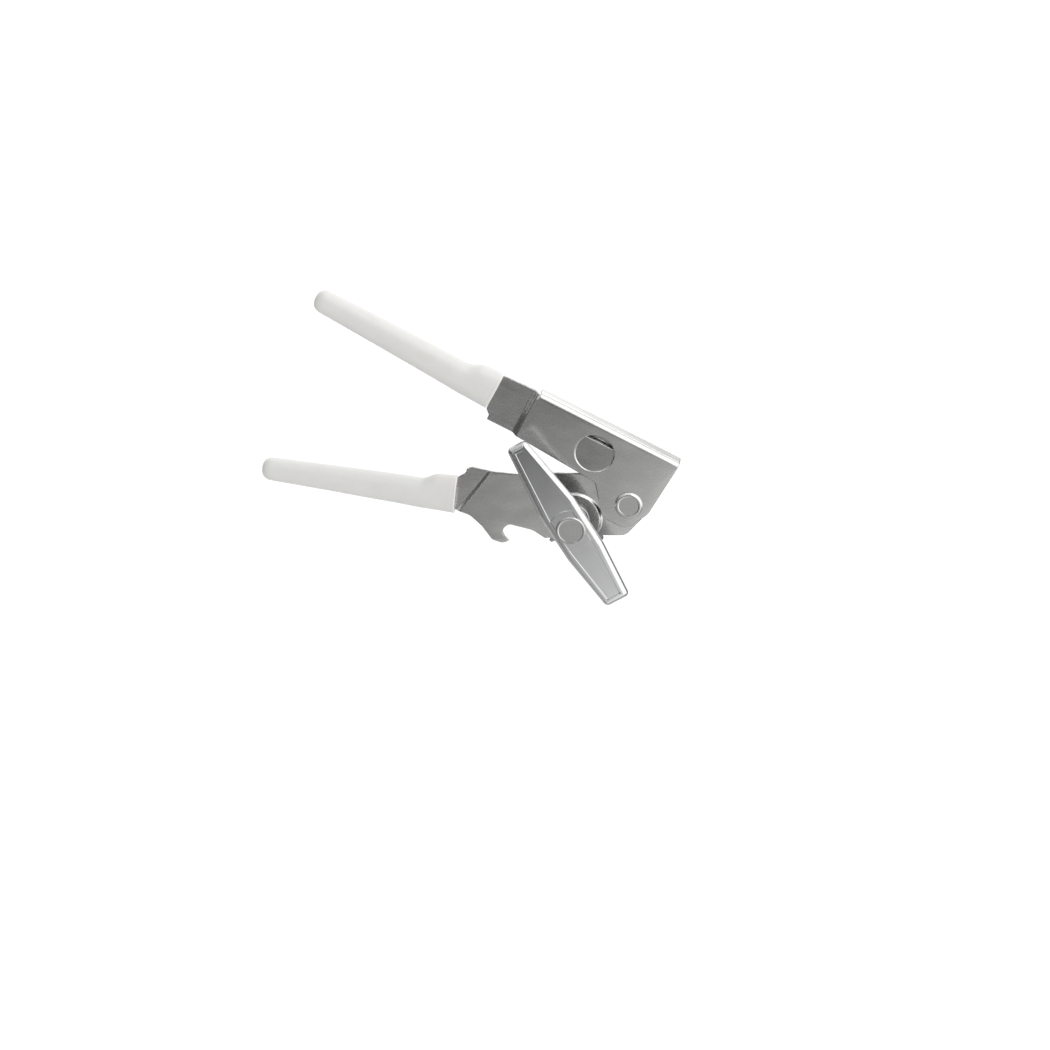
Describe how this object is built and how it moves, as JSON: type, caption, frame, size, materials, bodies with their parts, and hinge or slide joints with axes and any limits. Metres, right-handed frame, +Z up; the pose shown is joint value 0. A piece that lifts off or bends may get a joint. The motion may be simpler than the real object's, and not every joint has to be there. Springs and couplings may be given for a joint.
{
  "type": "manual can opener",
  "caption": "Hand-cranked can opener with two riveted steel handles, a geared round cutter and feed wheel, a cap lifter and soft grips.",
  "frame": {"origin": "the nip: on the drive shaft's centreline, at the top of the feed wheel, in the plane of the cutter's front face, where a can's rim is gripped", "axes": "+Z up with the opener in use, +Y from the crank side towards the can, +X from the grips towards the pivot end"},
  "size_m": [0.1938, 0.0251, 0.1427],
  "materials": {
    "plate_steel": "satin nickel plate",
    "crank_chrome": "bright plate",
    "turned_steel": "turned and plated",
    "gear_steel": "stamped and plated",
    "tool_steel": "ground and hardened",
    "grip_vinyl": "soft satin vinyl"
  },
  "bodies": {
    "lower_handle": {"lower_handle_plate": "plate_steel", "lower_grip": "grip_vinyl", "shaft_bushing": "turned_steel"},
    "upper_handle": {"upper_handle_plate": "plate_steel", "upper_grip": "grip_vinyl", "pivot_rivet": "turned_steel", "pivot_spacer": "turned_steel", "pivot_rear_washer": "turned_steel", "cutter_stud": "turned_steel", "cutter_thrust_washer": "turned_steel", "cutter_rear_washer": "turned_steel"},
    "drive": {"crank_handle": "crank_chrome", "crank_washer": "turned_steel", "crank_collar": "turned_steel", "drive_shaft": "turned_steel", "feed_thrust_washer": "turned_steel", "feed_gear": "gear_steel", "feed_wheel": "tool_steel"},
    "cutter": {"cutter_gear": "gear_steel", "cutter_hub": "turned_steel", "cutter_wheel": "tool_steel"}
  },
  "joints": [
    {"name": "handle_pivot", "type": "hinge", "parent": "lower_handle", "child": "upper_handle", "pos_m": [0.0253, 0, -0.00652], "axis": [0, -1, 0], "range_deg": [-30, 19.25]},
    {"name": "crank_spin", "type": "hinge", "parent": "lower_handle", "child": "drive", "pos_m": [0, 0, -0.0156], "axis": [0, -1, 0], "continuous": true},
    {"name": "cutter_spin", "type": "hinge", "parent": "upper_handle", "child": "cutter", "pos_m": [0.00931, 0, 0.01819], "axis": [0, -1, 0], "continuous": true}
  ],
  "couplings": [
    {"joint": "cutter_spin", "follows": "crank_spin", "ratio": -1.4286}
  ]
}
